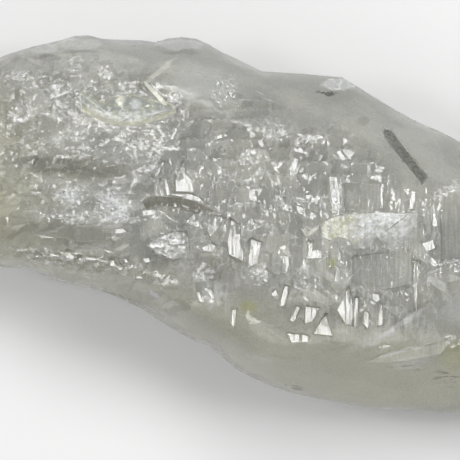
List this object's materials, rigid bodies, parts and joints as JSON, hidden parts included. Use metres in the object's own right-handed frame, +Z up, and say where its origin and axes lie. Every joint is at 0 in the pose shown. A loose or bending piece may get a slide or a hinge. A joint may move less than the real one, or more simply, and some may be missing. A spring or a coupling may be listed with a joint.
{
  "type": "rough quartz crystal",
  "caption": "Elongated rough quartz crystal, milky and see-through, with a broken root, stepped and chipped upper face, smooth sloping sides and a worn point, lying on one long side.",
  "frame": {"origin": "under the middle of the crystal's outline, on the flat that it rests on", "axes": "+X along the growth axis from the broken root to the point, +Y across it towards the smooth back slope, +Z up out of the stepped upper face"},
  "size_m": [0.1286, 0.0688, 0.0388],
  "materials": {
    "quartz": "milky translucent quartz with a glassy surface, frosted where it is worn"
  },
  "bodies": {
    "root": {"quartz_crystal": "quartz"}
  },
  "joints": []
}
